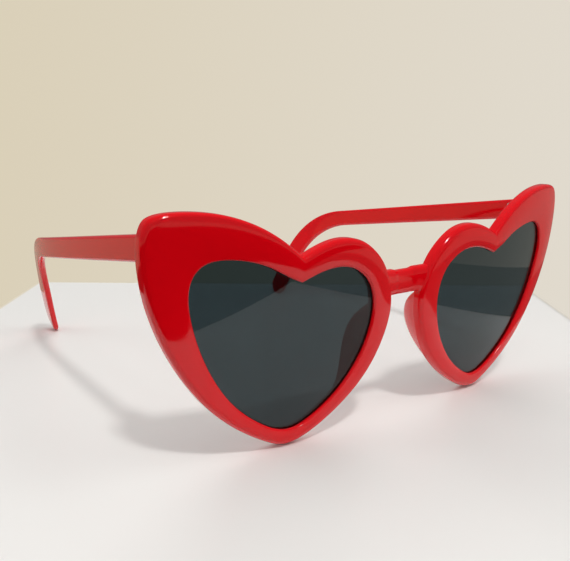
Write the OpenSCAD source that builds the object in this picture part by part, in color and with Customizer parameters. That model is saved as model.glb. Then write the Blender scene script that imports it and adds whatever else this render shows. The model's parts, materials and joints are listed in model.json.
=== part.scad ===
// Heart shaped sunglasses, standing open on the tips of the hearts and of the temples.
// X runs across the face, Y from the lenses back along the temples, and Z up.
// Left and right are the wearer's, so the left side lies at positive X.

/* [Lenses] */
// Width of a lens opening
lens_w = 51.2; // [46:0.1:58]
// Height of a lens opening, from its tip to the top of its outer lobe
lens_h = 46.3; // [41:0.1:53]
// Thickness of a lens
lens_t = 1.5; // [1.2:0.1:1.6]
// Depth of the lens behind the front face of its rim
lens_inset = 0.9; // [0.7:0.05:1.1]
// Reach of the lens into its groove
lens_seat = 0.8; // [0.5:0.05:1.1]
// Play of the lens in its groove
lens_play = 0.08; // [0.04:0.01:0.15]

/* [Rims] */
// Thickness of the front, from its face to its back
front_t = 3.4; // [3.2:0.1:4.4]
// Width of the rim beside the nose
rim_nose = 6.7; // [5:0.1:9]
// Width of the rim below the tip of the lens
rim_foot = 4.8; // [4:0.1:7]
// Width of the wing beyond the lens
wing_w = 10; // [8.5:0.1:14]
// Height of the wing above the lens
wing_h = 11; // [9:0.1:15]
// Radius of the rounded front edge
edge_r = 1.2; // [0.8:0.1:1.8]
// Radius of the rounded back edge
back_r = 0.6; // [0.3:0.1:1]
// Width of the lip round the lens
lip_w = 0.8; // [0.5:0.05:1.1]
// Depth of the lip round the lens
lip_d = 0.35; // [0.2:0.05:0.5]
// Height of the crown of the front face
crown = 0.35; // [0:0.05:0.6]

/* [Curve of the front] */
// Radius of the wrap across the face
wrap_r = 212; // [140:1:400]
// Distance from the middle at which the wrap turns back
wrap_x = 17; // [10:1:24]
// Radius of the curve from top to bottom
dome_r = 315; // [140:1:600]
// Forward lean of the front, in degrees
front_lean = 5.2; // [2:0.1:10]

/* [Bridge and nose pads] */
// Gap between the rims at the bridge
nose_gap = 10.4; // [9:0.1:15]
// Height of the bridge
bridge_h = 7.1; // [5.5:0.1:8]
// Thickness of the bridge, from front to back
bridge_t = 3.1; // [2.6:0.1:3.2]
// Reach of the bridge into a rim
bridge_root = 3; // [2.5:0.1:3.5]
// Sag of the bridge at its middle
bridge_sag = 0.65; // [0:0.05:1.5]
// Growth of the bridge in height at each of its roots
bridge_flare = 1.6; // [0:0.1:2.4]
// Depth of the middle of the bridge behind its ends
bridge_set = 1.3; // [0.5:0.1:1.8]
// Depth of a nose pad
pad_d = 9.3; // [6:0.1:10]
// Thickness of a nose pad
pad_t = 3.9; // [3:0.1:4.2]
// Height of a nose pad
pad_h = 30; // [24:0.5:32]
// Outward splay of a nose pad, in degrees
pad_splay = 18; // [10:1:30]

/* [Hinges] */
// Distance of the hinge below the top of the wing
hinge_drop = 8.9; // [8.5:0.1:10]
// Length of the end piece, from the back of the wing to the temple
end_l = 6.9; // [6.5:0.1:10]
// Overhang of the wing beside the temple
wing_over = 3.8; // [3:0.1:5]
// Radius of a hinge knuckle
knuckle_r = 1.5; // [1.3:0.05:1.7]
// Height of a hinge
hinge_h = 4.2; // [3.6:0.1:4.2]
// Thickness of a hinge leaf
leaf_t = 0.8; // [0.6:0.05:1]
// Length of a hinge leaf beyond its knuckle
leaf_l = 2.6; // [2.5:0.1:3]
// Radius of a pivot screw
pivot_r = 0.55; // [0.4:0.05:0.7]
// Radial play of a pivot screw in its bore
pivot_play = 0.05; // [0.02:0.01:0.09]
// Radius of a fixing screw
screw_r = 0.5; // [0.35:0.05:0.6]
// Depth of a fixing screw in the plastic
screw_l = 2.2; // [1.4:0.1:2.5]
// Running gap between pieces that turn past each other
turn_gap = 0.08; // [0.05:0.01:0.12]

/* [Temples] */
// Length of a temple along its arm, from the hinge to the middle of its tip
temple_l = 129; // [122:0.5:142]
// Height of a temple
temple_h = 6.4; // [6.2:0.1:8]
// Height of the ear piece
ear_h = 9.2; // [6:0.1:10]
// Thickness of a temple at its hinge
temple_t = 3.6; // [3:0.1:4]
// Thickness of a temple at its tip
tip_t = 2; // [1.9:0.1:3]
// Radius of the long edges of a temple
temple_r = 0.95; // [0.5:0.05:0.95]
// Distance from the hinge to the corner that the bend rounds
bend_l = 111.5; // [104:0.5:116]
// Reach of the bend to either side of its corner
bend_run = 21; // [10:0.5:24]
// Curve of the tip in towards the head
toe_in = 13; // [6:0.5:18]
// Droop of the temples towards the back, in degrees
temple_droop = 8.7; // [6:0.1:10]

/* [Hidden] */
$fn = 48;

// Overrun of every cut through a face
cut = 0.5;

// Colours
red = [0.76, 0.03, 0.06];
smoke = [0.16, 0.2, 0.2, 0.75];
steel = [0.75, 0.76, 0.78];

// One heart spans heart_w by heart_h, and its opening lens_w by lens_h.
heart_w = rim_nose + lens_w + wing_w;
heart_h = rim_foot + lens_h + wing_h;
front_w = nose_gap + 2 * heart_w;
nose_x = nose_gap / 2;

// Outer outline of a heart as shares of its size. It starts at the notch, goes over
// the lobe beside the nose to the tip, and comes back round the wing.
rim_shares = [
    [0.436, 0.804], [0.368, 0.838], [0.278, 0.863], [0.174, 0.847], [0.085, 0.775],
    [0.033, 0.692], [0.000, 0.570], [0.010, 0.463], [0.048, 0.346], [0.117, 0.230],
    [0.222, 0.124], [0.338, 0.040], [0.444, 0.000], [0.534, 0.037], [0.665, 0.130],
    [0.778, 0.248], [0.867, 0.386], [0.937, 0.537], [0.984, 0.697], [1.000, 0.859],
    [0.986, 0.953], [0.953, 0.989], [0.866, 1.000], [0.734, 0.986], [0.610, 0.938],
    [0.511, 0.873]
];

// Outline of the lens opening, each point facing one of the points above.
lens_shares = [
    [0.454, 0.846], [0.357, 0.886], [0.256, 0.906], [0.149, 0.888], [0.048, 0.806],
    [0.008, 0.705], [0.000, 0.605], [0.019, 0.484], [0.068, 0.348], [0.159, 0.203],
    [0.268, 0.096], [0.372, 0.025], [0.446, 0.000], [0.535, 0.016], [0.676, 0.116],
    [0.803, 0.254], [0.903, 0.436], [0.965, 0.611], [1.000, 0.785], [0.991, 0.906],
    [0.945, 0.975], [0.884, 1.000], [0.804, 0.999], [0.706, 0.978], [0.614, 0.940],
    [0.526, 0.882]
];

// Steps of the curve from one outline point to the next, and of the rounded front edge
outline_steps = 3;
edge_steps = 3;

// Groove round the opening that holds the lens
groove_d = lens_seat + lens_play;
groove_front = lens_inset - lens_play;
groove_back = lens_inset + lens_t + lens_play;

// The crown runs between these shares of the rim's width.
crown_shares = [0.36, 0.64];

// Rings of points from the middle of a lens to its edge
lens_rings = 4;
lens_middle_share = [0.5, 0.55];

// The bridge, a loft of rounded sections from rim to rim. Its middle height is a share
// of the height of a heart, and its squareness runs from 1, an ellipse, down to a box.
bridge_z_share = 0.635;
flare_power = 3;
bridge_steps = 10;
bridge_points = 16;
square_share = 0.72;

// The nose pads, each a loft of rounded sections down the back of a rim. A pad starts
// inside the rim by its sink, and stands in from the outline of the rim by its edge.
// It swells by one power of the way round a half turn, which another sets high.
pad_top_share = 0.576;
pad_steps = 16;
pad_points = 14;
pad_swell = 1.38;
pad_rise = 0.64;
pad_sink = 1.2;
pad_edge = 0.2;

// Stations of the outline beside the nose, from the side of the lobe to the tip
nose_first = 4 * outline_steps;
nose_last = 12 * outline_steps;

// The end pieces, each flared out from the temple towards the wing
end_flare = 0.9;
end_post = 1;

// The hinge axis stands just inside the inner face of the temple.
inner_x = front_w / 2 - wing_over - temple_t;
hinge_x = inner_x - knuckle_r - turn_gap;
hinge_z = heart_h - hinge_drop;
hinge_y = face_y(inner_x, hinge_z) + front_t + end_l;
knuckle_h = (hinge_h - 2 * turn_gap) / 3;
leaf_start = knuckle_r + turn_gap;
leaf_corner = 0.8;

// Fixing screws as shares of a leaf's length and height, and the heads of all screws
screw_near_share = [0.32, 0.24];
screw_far_share = [0.68, -0.24];
screw_play = 0.02;
screw_head_r = 0.8;
screw_head_h = 0.35;
pivot_head_r = knuckle_r - turn_gap;
pivot_head_h = 0.5;
slot_w = 0.3;
slot_d = 0.2;

// Side view of a temple: an arm, a bend, and a straight ear piece down to the table
arm_x = inner_x + temple_t / 2;
tip_r = ear_h / 2;
tip_z = (tip_r + temple_l * sin(temple_droop) - hinge_z) / cos(temple_droop);

// Steps of each stretch of a temple, and of each corner of its section
arm_steps = 8;
bend_steps = 12;
ear_steps = 4;
tip_steps = 5;
corner_steps = 3;

// The tip curves in with this power of the way along, and rounds off over this angle.
toe_power = 5;
tip_turn = 80;
tip_thin_share = 0.55;

// The origin lies under the middle of the glasses, from front to back.
back_y = hinge_y + temple_l * cos(temple_droop) + tip_z * sin(temple_droop) + tip_r;
front_top_share = 0.82;
front_y = face_y(wrap_x, heart_h * front_top_share) - crown;
middle_y = (front_y + back_y) / 2;

// Curves

// Depth of the front face at a place across and up the front
function face_y(x, z) =
    pow(abs(x) - wrap_x, 2) / (2 * wrap_r)
    + pow(z - heart_h / 2, 2) / (2 * dome_r)
    - (z - heart_h / 2) * tan(front_lean);

// A place on the front, set back behind its face
function behind(p, depth) = [p.x, face_y(p.x, p.y) + depth, p.y];

function unit(v) = v / norm(v);

function mix(a, b, share) = a + (b - a) * share;

// Smooth curve from p1 to p2 that heads on towards p0 and p3
function curve(p0, p1, p2, p3, s) =
    p1 + s / 2 * (p2 - p0
        + s * (2 * p0 - 5 * p1 + 4 * p2 - p3)
        + s * s * (3 * p1 - p0 - 3 * p2 + p3));

// Closed outline through the given shares, with its one sharp corner at the first,
// drawn out to fill its width and its height
function outline(shares, w, h) =
    let (
        n = len(shares),
        line = [
            for (i = [0 : n - 1], k = [0 : outline_steps - 1])
                let (
                    a = shares[i],
                    b = shares[(i + 1) % n],
                    before = i == 0 ? 2 * a - b : shares[i - 1],
                    after = i == n - 1 ? 2 * b - a : shares[(i + 2) % n]
                )
                curve(before, a, b, after, k / outline_steps)
        ],
        left = min([for (p = line) p.x]),
        right = max([for (p = line) p.x]),
        foot = min([for (p = line) p.y]),
        top = max([for (p = line) p.y])
    )
    [
        for (p = line)
            [(p.x - left) / (right - left) * w, (p.y - foot) / (top - foot) * h]
    ];

rim_outline = [
    for (p = outline(rim_shares, heart_w, heart_h)) p + [nose_x, 0]
];
lens_outline = [
    for (p = outline(lens_shares, lens_w, lens_h)) p + [nose_x + rim_nose, rim_foot]
];
stations = len(rim_outline);

// Places on the rim, measured in from its outer outline or out from its opening
function from_rim(i, d) = rim_outline[i] + d * unit(lens_outline[i] - rim_outline[i]);
function from_lens(i, d) = lens_outline[i] + d * unit(rim_outline[i] - lens_outline[i]);

// Section through the rim: rounded edge, crowned face, lip, groove and back
function rim_section(i) = [
    for (k = [0 : edge_steps])
        let (a = 90 * k / edge_steps)
        behind(from_rim(i, edge_r * (1 - cos(a))), edge_r * (1 - sin(a))),
    for (share = crown_shares)
        behind(mix(rim_outline[i], lens_outline[i], share), -crown),
    behind(from_lens(i, lip_w), 0),
    behind(from_lens(i, 0), lip_d),
    behind(from_lens(i, 0), groove_front),
    behind(from_lens(i, groove_d), groove_front),
    behind(from_lens(i, groove_d), groove_back),
    behind(from_lens(i, 0), groove_back),
    behind(from_lens(i, 0), front_t - lip_d),
    behind(from_lens(i, lip_d), front_t),
    for (k = [0 : 2])
        let (a = 45 * k)
        behind(from_rim(i, back_r * (1 - sin(a))), front_t - back_r * (1 - cos(a)))
];

// Section with flat sides and rounded corners, about its middle
function rounded(a, b, r) = [
    for (q = [0 : 3], k = [0 : corner_steps])
        let (
            t = 90 * (q + k / corner_steps),
            sx = q == 0 || q == 3 ? 1 : -1,
            sz = q < 2 ? 1 : -1
        )
        [sx * (a - r) + r * cos(t), sz * (b - r) + r * sin(t)]
];

// Section between an ellipse and a rectangle, about its middle
function squarish(a, b, n) = [
    for (k = [0 : n - 1])
        let (t = 360 * k / n)
        [
            a * sign(cos(t)) * pow(abs(cos(t)), square_share),
            b * sign(sin(t)) * pow(abs(sin(t)), square_share)
        ]
];

// Solid skin over a row of sections, or over a ring of them
module loft(sections, ring = false) {
    n = len(sections);
    m = len(sections[0]);
    last = ring ? n - 1 : n - 2;
    polyhedron(
        points = [for (s = sections, p = s) p],
        faces = [
            for (i = [0 : last], j = [0 : m - 1])
                let (a = i * m, b = (i + 1) % n * m, k = (j + 1) % m)
                    each [[a + j, a + k, b + k], [a + j, b + k, b + j]],
            if (!ring) [for (j = [0 : m - 1]) m - 1 - j],
            if (!ring) [for (j = [0 : m - 1]) (n - 1) * m + j]
        ]
    );
}

// Places

module placed() {
    translate([0, -middle_y, 0]) children();
}

module right_side() {
    mirror([1, 0, 0]) children();
}

// Frame of the left hinge: Y along the temple, Z along the hinge axis
module at_hinge() {
    translate([0, hinge_y, hinge_z]) rotate([-temple_droop, 0, 0]) children();
}

// Front

module heart_rim() {
    loft([for (i = [0 : stations - 1]) rim_section(i)], ring = true);
}

module bridge() {
    half = nose_x + bridge_root;
    z = heart_h * bridge_z_share;
    y = face_y(nose_x, z) + front_t / 2;
    loft([
        for (k = [0 : bridge_steps])
            let (
                u = 1 - 2 * k / bridge_steps,
                rise = 1 - u * u,
                high = bridge_h + bridge_flare * pow(abs(u), flare_power)
            )
            [
                for (p = squarish(bridge_t / 2, high / 2, bridge_points))
                    [u * half, y + bridge_set * rise + p.x, z - bridge_sag * rise + p.y]
            ]
    ]);
}

// Outer outline beside the nose, at a height
function nose_side(z) = lookup(z, [
    for (i = [nose_last : -1 : nose_first]) [rim_outline[i].y, rim_outline[i].x]
]);

module nose_pad() {
    top = heart_h * pad_top_share;
    loft([
        for (k = [0 : pad_steps])
            let (
                s = k / pad_steps,
                z = top - pad_h * s,
                swell = pow(sin(180 * pow(s, pad_rise)), pad_swell),
                a = pad_sink + swell * (pad_d - pad_sink) / 2,
                b = pad_t / 2 * mix(square_share, 1, swell),
                x = nose_side(z) + pad_edge + pad_t / 2,
                y = face_y(x, z) + front_t - pad_sink - pad_edge
            )
            [
                for (p = squarish(b, a, pad_points))
                    let (q = p + [0, a - pad_sink])
                    [
                        x + q.x * cos(pad_splay) + q.y * sin(pad_splay),
                        y - q.x * sin(pad_splay) + q.y * cos(pad_splay),
                        z
                    ]
            ]
    ]);
}

// End piece: the height of the temple at the joint, flared into the back of the wing
module end_piece() {
    hull() {
        at_hinge()
            translate([arm_x, -turn_gap / 2, 0])
            rotate([90, 0, 0])
            linear_extrude(end_post)
            polygon(rounded(temple_t / 2, temple_h / 2, temple_r));
        for (x = [inner_x + end_post, inner_x + temple_t + end_flare - end_post])
            for (side = [-1, 1])
                let (
                    z = hinge_z + side * (temple_h / 2 + end_flare - end_post),
                    y = face_y(x, z) + front_t
                )
                    translate([x, y, z])
                    rotate([90, 0, 0])
                    cylinder(r = end_post, h = end_post, $fn = 24);
    }
}

// Bores for the fixing screws of one leaf, along the arm from the hinge
module leaf_bores(depth) {
    for (share = [screw_near_share, screw_far_share])
        translate([inner_x - leaf_t - cut, leaf_start + leaf_l * share.x, hinge_h * share.y])
        rotate([0, 90, 0])
        cylinder(r = screw_r + screw_play, h = cut + leaf_t + depth);
}

module left_half_front() {
    heart_rim();
    nose_pad();
    end_piece();
}

module front_frame() {
    color(red)
        placed()
        difference() {
            resize([front_w, 0, 0])
                union() {
                    left_half_front();
                    right_side() left_half_front();
                    bridge();
                }
            front_bores();
            right_side() front_bores();
        }
}

module front_bores() {
    at_hinge() mirror([0, 1, 0]) leaf_bores(screw_l + screw_play);
}

// Lenses

module lens() {
    middle = [nose_x + rim_nose, rim_foot]
        + [lens_middle_share.x * lens_w, lens_middle_share.y * lens_h];
    n = stations;
    side = 1 + lens_rings * n;
    polyhedron(
        points = [
            for (d = [lens_inset, lens_inset + lens_t])
                each [
                    behind(middle, d),
                    for (r = [1 : lens_rings], i = [0 : n - 1])
                        behind(mix(middle, from_lens(i, lens_seat), r / lens_rings), d)
                ]
        ],
        faces = [
            for (i = [0 : n - 1])
                let (k = (i + 1) % n)
                    each [[0, 1 + k, 1 + i], [side, side + 1 + i, side + 1 + k]],
            for (r = [0 : lens_rings - 2], i = [0 : n - 1])
                let (k = (i + 1) % n, a = 1 + r * n, b = a + n)
                    each [
                        [a + i, b + k, b + i], [a + i, a + k, b + k],
                        [side + a + i, side + b + i, side + b + k],
                        [side + a + i, side + b + k, side + a + k]
                    ],
            for (i = [0 : n - 1])
                let (k = (i + 1) % n, a = side - n)
                    each [[a + i, side + a + k, side + a + i], [a + i, a + k, side + a + k]]
        ]
    );
}

module left_lens() {
    color(smoke) placed() lens();
}

module right_lens() {
    color(smoke) placed() right_side() lens();
}

// Temples

// Stations of a temple: place and heading in side view, half height, half thickness
bend_start = [bend_l - bend_run, 0];
bend_corner = [bend_l, 0];
ear_end = [temple_l, tip_z];
bend_end = bend_corner + bend_run * unit(ear_end - bend_corner);

function bend_point(s) =
    mix(mix(bend_start, bend_corner, s), mix(bend_corner, bend_end, s), s);
function bend_heading(s) =
    unit(mix(bend_corner - bend_start, bend_end - bend_corner, s));

temple_stations = [
    for (k = [0 : arm_steps])
        [[mix(turn_gap / 2, bend_start.x, k / arm_steps), 0], [1, 0], temple_h / 2, 1],
    for (k = [1 : bend_steps])
        let (s = k / bend_steps)
        [bend_point(s), bend_heading(s), mix(temple_h, ear_h, s) / 2, 1],
    for (k = [1 : ear_steps])
        [mix(bend_end, ear_end, k / ear_steps), bend_heading(1), tip_r, 1],
    for (k = [1 : tip_steps])
        let (a = tip_turn * k / tip_steps)
        [
            ear_end + bend_heading(1) * tip_r * sin(a),
            bend_heading(1),
            tip_r * cos(a),
            mix(tip_thin_share, 1, cos(a))
        ]
];

function temple_section(station) =
    let (
        p = station[0],
        ahead = station[1],
        along = p.x / temple_l,
        a = mix(temple_t, tip_t, along * along) / 2 * station[3],
        b = station[2],
        x = arm_x - toe_in * pow(along, toe_power)
    )
    [
        for (q = rounded(a, b, min(temple_r, a, b)))
            [x + q.x, p.x - ahead.y * q.y, p.y + ahead.x * q.y]
    ];

module temple() {
    at_hinge()
        difference() {
            loft([for (s = temple_stations) temple_section(s)]);
            leaf_bores(screw_l + screw_play);
        }
}

module left_temple() {
    color(red) placed() temple();
}

module right_temple() {
    color(red) placed() right_side() temple();
}

// Hinges

// Leaf on the inner face of the arm, with a knuckle at each level given
module leaf(levels) {
    difference() {
        union() {
            translate([inner_x - leaf_t, 0, 0])
                rotate([90, 0, 90])
                linear_extrude(leaf_t)
                leaf_plate();
            for (level = levels)
                translate([0, 0, level * (knuckle_h + turn_gap) - knuckle_h / 2])
                knuckle();
        }
        translate([hinge_x, 0, -hinge_h / 2 - cut])
            cylinder(r = pivot_r + pivot_play, h = hinge_h + 2 * cut);
        leaf_bores(cut);
    }
}

// Side view of the plate of a leaf, with its far corners rounded
module leaf_plate() {
    long = leaf_start + leaf_l;
    translate([leaf_start, -hinge_h / 2])
        square([leaf_l - leaf_corner, hinge_h]);
    translate([leaf_start, leaf_corner - hinge_h / 2])
        square([leaf_l, hinge_h - 2 * leaf_corner]);
    for (side = [-1, 1])
        translate([long - leaf_corner, side * (hinge_h / 2 - leaf_corner)])
        circle(r = leaf_corner);
}

// Knuckle with the strap that ties it to its plate
module knuckle() {
    translate([hinge_x, 0, 0]) cylinder(r = knuckle_r, h = knuckle_h);
    translate([inner_x - leaf_t, 0, 0])
        cube([leaf_t, leaf_start + leaf_corner, knuckle_h]);
}

module front_leaf() {
    at_hinge() mirror([0, 1, 0]) leaf([-1, 1]);
}

module temple_leaf() {
    at_hinge() leaf([0]);
}

module left_front_leaf() {
    color(steel) placed() front_leaf();
}

module right_front_leaf() {
    color(steel) placed() right_side() front_leaf();
}

module left_temple_leaf() {
    color(steel) placed() temple_leaf();
}

module right_temple_leaf() {
    color(steel) placed() right_side() temple_leaf();
}

// Screws

// Slotted screw that stands on its end, with the seat of its head at height zero
module screw(r, l, head_r, head_h) {
    difference() {
        union() {
            translate([0, 0, -l]) cylinder(r = r, h = l);
            cylinder(r = head_r, h = head_h);
        }
        translate([-slot_w / 2, -head_r - cut, head_h - slot_d])
            cube([slot_w, 2 * (head_r + cut), slot_d + cut]);
    }
}

// Screw on which the temple turns, through all three knuckles
module pivot_screw() {
    at_hinge()
        translate([hinge_x, 0, hinge_h / 2])
        screw(pivot_r, hinge_h, pivot_head_r, pivot_head_h);
}

// Fixing screw of a leaf, driven outwards into the plastic
module fixing_screw(share) {
    translate([inner_x - leaf_t, leaf_start + leaf_l * share.x, hinge_h * share.y])
        rotate([0, -90, 0])
        screw(screw_r, leaf_t + screw_l, screw_head_r, screw_head_h);
}

module front_screw(share) {
    at_hinge() mirror([0, 1, 0]) fixing_screw(share);
}

module temple_screw(share) {
    at_hinge() fixing_screw(share);
}

module left_pivot_screw() {
    color(steel) placed() pivot_screw();
}

module right_pivot_screw() {
    color(steel) placed() right_side() pivot_screw();
}

module left_front_near_screw() {
    color(steel) placed() front_screw(screw_near_share);
}

module right_front_near_screw() {
    color(steel) placed() right_side() front_screw(screw_near_share);
}

module left_front_far_screw() {
    color(steel) placed() front_screw(screw_far_share);
}

module right_front_far_screw() {
    color(steel) placed() right_side() front_screw(screw_far_share);
}

module left_temple_near_screw() {
    color(steel) placed() temple_screw(screw_near_share);
}

module right_temple_near_screw() {
    color(steel) placed() right_side() temple_screw(screw_near_share);
}

module left_temple_far_screw() {
    color(steel) placed() temple_screw(screw_far_share);
}

module right_temple_far_screw() {
    color(steel) placed() right_side() temple_screw(screw_far_share);
}

front_frame();
right_lens();
left_lens();
right_temple();
left_temple();
right_front_leaf();
left_front_leaf();
right_temple_leaf();
left_temple_leaf();
right_pivot_screw();
left_pivot_screw();
right_front_near_screw();
left_front_near_screw();
right_front_far_screw();
left_front_far_screw();
right_temple_near_screw();
left_temple_near_screw();
right_temple_far_screw();
left_temple_far_screw();
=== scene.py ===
"""Looks of a pair of heart shaped sunglasses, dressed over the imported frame.

Left and right are the wearer's, so the left side lies at positive X. Sizes are in
millimetres in the classes and turn into metres where a mesh is made. Fields named steps
or points only say how finely a form is drawn.
"""

import json
import logging
from dataclasses import dataclass, field
from enum import Enum
from math import atan2, cos, pi, radians, sin, sqrt, tan
from typing import Sequence

import bmesh
import bpy
import numpy as np
from bpy.types import ID, Material, Mesh, Node, NodeSocket, NodeTree, Object
from mathutils import Matrix, Vector


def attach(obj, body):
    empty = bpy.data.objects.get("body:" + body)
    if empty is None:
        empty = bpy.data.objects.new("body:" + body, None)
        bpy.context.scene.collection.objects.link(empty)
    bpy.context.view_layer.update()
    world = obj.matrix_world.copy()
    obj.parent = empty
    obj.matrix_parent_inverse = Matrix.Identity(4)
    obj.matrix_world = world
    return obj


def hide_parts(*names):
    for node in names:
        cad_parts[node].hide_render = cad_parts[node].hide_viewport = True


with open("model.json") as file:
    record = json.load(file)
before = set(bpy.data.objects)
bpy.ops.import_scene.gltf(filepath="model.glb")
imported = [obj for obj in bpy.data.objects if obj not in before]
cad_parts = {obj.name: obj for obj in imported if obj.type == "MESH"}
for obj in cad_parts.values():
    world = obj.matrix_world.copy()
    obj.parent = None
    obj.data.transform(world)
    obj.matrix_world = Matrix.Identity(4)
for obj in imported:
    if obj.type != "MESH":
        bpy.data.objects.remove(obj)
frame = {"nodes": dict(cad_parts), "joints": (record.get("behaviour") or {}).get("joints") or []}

LOG = logging.getLogger("heart_sunglasses")
MM = 0.001
QUARTER = pi / 2
SHARP = 40  # degrees past which an edge of a lofted shell stays sharp
WELD = 1e-7  # metres within which the points of a grown mesh are merged
CARRIED = {"centre", "rise", "round", "high", "thick", "aim"}  # only the trees need these

Triple = tuple[float, float, float]
Pair = tuple[float, float]
Numbers = np.ndarray | float
Faces = list[tuple[int, ...]]


class Side(Enum):
    """The two sides of the pair, each with the sign of its X."""

    LEFT = 1
    RIGHT = -1

    @property
    def word(self) -> str:
        """Return the side's name as the nodes and bodies write it."""
        return self.name.lower()

    @property
    def arm(self) -> str:
        """Return the name of the body that the side's temple belongs to."""
        return f"{self.word}_arm"


# Curves and meshes


def unit(vectors: np.ndarray) -> np.ndarray:
    """Return the vectors along the last axis, each scaled to length one."""
    return vectors / np.linalg.norm(vectors, axis=-1, keepdims=True)


def spots(x: Numbers, y: Numbers, z: Numbers) -> np.ndarray:
    """Return the points at places across, back and up, one row each."""
    return np.stack(np.broadcast_arrays(x, y, z), -1)


def smooth_line(points: np.ndarray, steps: int) -> np.ndarray:
    """Draw a closed smooth line through points, with one corner at the first.

    Args:
        points: Places of the outline, one row each.
        steps: Places drawn from one point to the next.

    Returns:
        The places of the line, one row each.
    """
    count = len(points)
    places = []
    for i in range(count):
        a, b = points[i], points[(i + 1) % count]
        before = 2 * a - b if i == 0 else points[i - 1]
        after = 2 * b - a if i == count - 1 else points[(i + 2) % count]
        for k in range(steps):
            s = k / steps
            places.append(a + s / 2 * (b - before + s * (2 * before - 5 * a + 4 * b - after)
                                       + s * s * (3 * a - before - 3 * b + after)))
    return np.array(places)


def turns(count: int) -> tuple[np.ndarray, np.ndarray]:
    """Return the cosines and sines of even turns round a section."""
    turn = 2 * pi * (np.arange(count) + 0.5) / count
    return np.cos(turn), np.sin(turn)


def squarish(a: float, b: float, count: int, power: float) -> np.ndarray:
    """Return a section of half sizes a and b, an ellipse at power 1 and squarer below it."""
    c, s = turns(count)
    return np.stack([a * np.sign(c) * np.abs(c) ** power, b * np.sign(s) * np.abs(s) ** power], -1)


def corner_rounded(a: float, b: float, radius: float, count: int) -> np.ndarray:
    """Return a section of half sizes a and b, with flat sides and rounded corners."""
    c, s = turns(count)
    return np.stack([np.sign(c) * (a - radius) + radius * c, np.sign(s) * (b - radius) + radius * s], -1)


@dataclass
class Skin:
    """Points and faces of one closed shell, in millimetres."""

    points: np.ndarray
    faces: Faces

    @classmethod
    def loft(cls, sections: np.ndarray, ring: bool = False, tips: np.ndarray | None = None) -> "Skin":
        """Skin a row of sections, or a ring of them.

        Args:
            sections: Sections along the first axis, their points along the second.
            ring: Whether the last section meets the first.
            tips: The points that close a row, or none for the middles of its end sections.

        Returns:
            The closed shell.
        """
        n, m = sections.shape[:2]
        faces: Faces = []
        for i in range(n if ring else n - 1):
            a, b = i * m, (i + 1) % n * m
            faces += [(a + j, a + (j + 1) % m, b + (j + 1) % m, b + j) for j in range(m)]
        points = sections.reshape(-1, 3)
        if not ring:
            points = np.vstack([points, sections[[0, -1]].mean(1) if tips is None else tips])
            last = (n - 1) * m
            faces += [(n * m, (j + 1) % m, j) for j in range(m)]
            faces += [(n * m + 1, last + j, last + (j + 1) % m) for j in range(m)]
        return cls(points, faces)

    def mirrored(self) -> "Skin":
        """Return the shell mirrored across the middle of the face."""
        return Skin(self.points * [-1, 1, 1], [tuple(reversed(f)) for f in self.faces])

    def joined(self, *others: "Skin") -> "Skin":
        """Join this shell and others.

        Args:
            *others: The other shells.

        Returns:
            All of them as one.
        """
        points, faces, start = [self.points], list(self.faces), len(self.points)
        for other in others:
            points.append(other.points)
            faces += [tuple(i + start for i in face) for face in other.faces]
            start += len(other.points)
        return Skin(np.vstack(points), faces)


def plain_mesh(name: str, points: np.ndarray, faces: Sequence[tuple[int, ...]] = (),
               edges: Sequence[tuple[int, int]] = (), material: Material | None = None) -> Mesh:
    """Make a mesh.

    Args:
        name: Its name.
        points: Its points in millimetres, one row each.
        faces: Its faces.
        edges: Its loose edges.
        material: Its finish.

    Returns:
        The mesh, in metres.
    """
    mesh = bpy.data.meshes.new(name)
    mesh.from_pydata((points * MM).tolist(), edges, faces)
    if material:
        mesh.materials.append(material)
    return mesh


def carry(mesh: Mesh, name: str, values: np.ndarray) -> None:
    """Store numbers or vectors under a name on the points of a mesh."""
    kind, key = ("FLOAT", "value") if values.ndim == 1 else ("FLOAT_VECTOR", "vector")
    mesh.attributes.new(name, kind, "POINT").data.foreach_set(key, values.astype(np.float32).ravel())


def linked(name: str, data: ID) -> Object:
    """Make an object and link it to the scene.

    Args:
        name: Its name.
        data: The mesh, camera or lamp that it holds.

    Returns:
        The object, at the origin.
    """
    made = bpy.data.objects.new(name, data)
    bpy.context.scene.collection.objects.link(made)
    return made


def settled(mesh: Mesh, sharp: float, weld: float = 0.0) -> Mesh:
    """Turn a mesh's faces outwards and shade it smooth.

    Args:
        mesh: The mesh.
        sharp: Angle in degrees past which an edge stays sharp.
        weld: Distance in metres within which points are merged.

    Returns:
        The same mesh.
    """
    work = bmesh.new()
    work.from_mesh(mesh)
    if weld:
        bmesh.ops.remove_doubles(work, verts=work.verts, dist=weld)
    bmesh.ops.recalc_face_normals(work, faces=work.faces)
    work.to_mesh(mesh)
    work.free()
    mesh.shade_smooth()
    mesh.set_sharp_from_angle(angle=radians(sharp))
    return mesh


def make_object(name: str, skin: Skin, material: Material) -> Object:
    """Return a smooth shaded object made from a shell."""
    mesh = plain_mesh(name, skin.points, skin.faces, material=material)
    return linked(name, settled(mesh, SHARP))


# Node trees


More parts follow.
